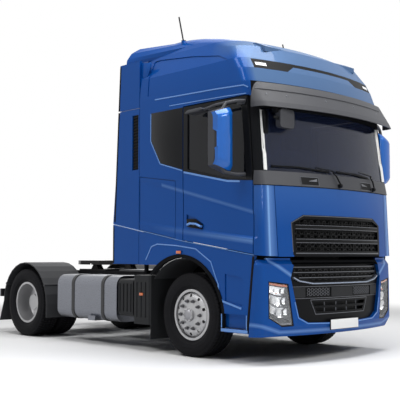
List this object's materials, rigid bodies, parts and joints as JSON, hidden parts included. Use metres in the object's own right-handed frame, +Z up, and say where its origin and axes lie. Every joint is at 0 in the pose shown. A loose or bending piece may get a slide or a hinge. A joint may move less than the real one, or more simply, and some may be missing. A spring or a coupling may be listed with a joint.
{
  "type": "truck tractor unit",
  "caption": "Two-axle truck tractor with a tilting high sleeper cab, opening doors, steered front wheels, twin rear tyres and a pitching fifth wheel.",
  "frame": {"origin": "on the ground under the middle of the whole vehicle's length and width", "axes": "+X forward, +Y to the vehicle's left, +Z up"},
  "size_m": [5.9248, 3.3, 4.2323],
  "materials": {
    "body_paint": "glossy metallic blue paint",
    "chassis_paint": "satin black chassis paint",
    "dark_plastic": "grained dark plastic",
    "grey_plastic": "dark grey moulded plastic",
    "gloss_black": "satin black plastic",
    "cab_trim": "grained dark trim",
    "seat_cloth": "woven seat cloth",
    "tinted_glass": "tinted glass",
    "lamp_glass": "clear lamp lens",
    "lamp_red": "red lens",
    "tank_aluminium": "brushed aluminium",
    "steel_cover": "satin painted steel",
    "rim_silver": "silver painted steel",
    "tyre_rubber": "black rubber",
    "coupling_iron": "greased dark cast iron"
  },
  "bodies": {
    "chassis": {"ladder_frame": "chassis_paint", "powertrain": "chassis_paint", "front_axle": "chassis_paint", "leaf_springs": "chassis_paint", "rear_axle": "chassis_paint", "fuel_tanks": "tank_aluminium", "urea_tank": "grey_plastic", "side_covers": "grey_plastic", "exhaust_box": "steel_cover", "catwalk": "tank_aluminium", "rear_mudguards": "dark_plastic", "fifth_wheel_base": "coupling_iron", "cab_supports": "chassis_paint", "bumper": "body_paint", "lower_grille": "dark_plastic", "headlamps": "lamp_glass", "side_fairings": "body_paint", "arch_liners": "dark_plastic", "tail_lamps": "lamp_red"},
    "cab": {"cab_shell": "body_paint", "roof_shell": "body_paint", "roof_strip": "gloss_black", "roof_lamps": "body_paint", "roof_deflector": "body_paint", "side_deflectors": "body_paint", "cowl_panel": "dark_plastic", "corner_panels": "body_paint", "cab_glass": "tinted_glass", "sun_visor": "dark_plastic", "front_mirror": "dark_plastic", "wipers": "dark_plastic", "dashboard": "cab_trim", "seats": "seat_cloth", "bunk_base": "cab_trim", "bunk_mattress": "seat_cloth"},
    "door_left": {"door_left": "body_paint", "door_glass_left": "tinted_glass", "mirror_left": "body_paint"},
    "door_right": {"door_right": "body_paint", "door_glass_right": "tinted_glass", "mirror_right": "body_paint"},
    "hatch_left": {"hatch_left": "body_paint"},
    "hatch_right": {"hatch_right": "body_paint"},
    "front_lid": {"front_lid": "body_paint", "upper_grille": "gloss_black"},
    "knuckle_left": {"knuckle_left": "chassis_paint"},
    "knuckle_right": {"knuckle_right": "chassis_paint"},
    "tie_rod": {"tie_rod": "chassis_paint"},
    "wheel_front_left": {"tyre_front_left": "tyre_rubber", "rim_front_left": "rim_silver"},
    "wheel_front_right": {"tyre_front_right": "tyre_rubber", "rim_front_right": "rim_silver"},
    "wheels_rear_left": {"tyres_rear_left": "tyre_rubber", "rims_rear_left": "rim_silver"},
    "wheels_rear_right": {"tyres_rear_right": "tyre_rubber", "rims_rear_right": "rim_silver"},
    "fifth_wheel": {"fifth_wheel_plate": "coupling_iron"},
    "steering_wheel": {"steering_wheel": "cab_trim"}
  },
  "joints": [
    {"name": "spin_front_left", "type": "hinge", "parent": "knuckle_left", "child": "wheel_front_left", "pos_m": [1.5175, 1.033, 0.5], "axis": [0, 1, 0], "continuous": true},
    {"name": "spin_front_right", "type": "hinge", "parent": "knuckle_right", "child": "wheel_front_right", "pos_m": [1.5175, -1.033, 0.5], "axis": [0, 1, 0], "continuous": true},
    {"name": "spin_rear_left", "type": "hinge", "parent": "chassis", "child": "wheels_rear_left", "pos_m": [-2.0825, 1.078, 0.5], "axis": [0, 1, 0], "continuous": true},
    {"name": "spin_rear_right", "type": "hinge", "parent": "chassis", "child": "wheels_rear_right", "pos_m": [-2.0825, -1.078, 0.5], "axis": [0, 1, 0], "continuous": true},
    {"name": "steer_left", "type": "hinge", "parent": "chassis", "child": "knuckle_left", "pos_m": [1.5175, 0.88, 0.5], "axis": [0, 0, 1], "range_deg": [-36, 36]},
    {"name": "steer_right", "type": "hinge", "parent": "chassis", "child": "knuckle_right", "pos_m": [1.5175, -0.88, 0.5], "axis": [0, 0, 1], "range_deg": [-36, 36]},
    {"name": "tie_rod_ball", "type": "hinge", "parent": "knuckle_left", "child": "tie_rod", "pos_m": [1.3275, 0.88, 0.388], "axis": [0, 0, 1], "range_deg": [-36, 36]},
    {"name": "steering_wheel_turn", "type": "hinge", "parent": "cab", "child": "steering_wheel", "pos_m": [2.1575, 0.62, 2.185], "axis": [-0.5299, 0, 0.848], "range_deg": [-648, 648]},
    {"name": "cab_tilt", "type": "hinge", "parent": "chassis", "child": "cab", "pos_m": [2.6175, 0, 0.85], "axis": [0, 1, 0], "range_deg": [0, 60]},
    {"name": "door_left_swing", "type": "hinge", "parent": "cab", "child": "door_left", "pos_m": [2.5895, 1.235, 2.1], "axis": [0, 0, -1], "range_deg": [0, 80]},
    {"name": "door_right_swing", "type": "hinge", "parent": "cab", "child": "door_right", "pos_m": [2.5895, -1.235, 2.1], "axis": [0, 0, 1], "range_deg": [0, 80]},
    {"name": "hatch_left_lift", "type": "hinge", "parent": "cab", "child": "hatch_left", "pos_m": [0.987, 1.25, 2.153], "axis": [0.9903, 0, -0.1387], "range_deg": [0, 85]},
    {"name": "hatch_right_lift", "type": "hinge", "parent": "cab", "child": "hatch_right", "pos_m": [0.987, -1.25, 2.153], "axis": [-0.9903, 0, 0.1387], "range_deg": [0, 85]},
    {"name": "front_lid_lift", "type": "hinge", "parent": "cab", "child": "front_lid", "pos_m": [2.8835, 0, 1.98], "axis": [0, -1, 0], "range_deg": [0, 80]},
    {"name": "fifth_wheel_pitch", "type": "hinge", "parent": "chassis", "child": "fifth_wheel", "pos_m": [-1.5025, 0, 1.067], "axis": [0, 1, 0], "range_deg": [-8, 8]}
  ],
  "couplings": [
    {"joint": "steer_right", "follows": "steer_left", "ratio": 1},
    {"joint": "tie_rod_ball", "follows": "steer_left", "ratio": -1},
    {"joint": "steering_wheel_turn", "follows": "steer_left", "ratio": 18}
  ]
}
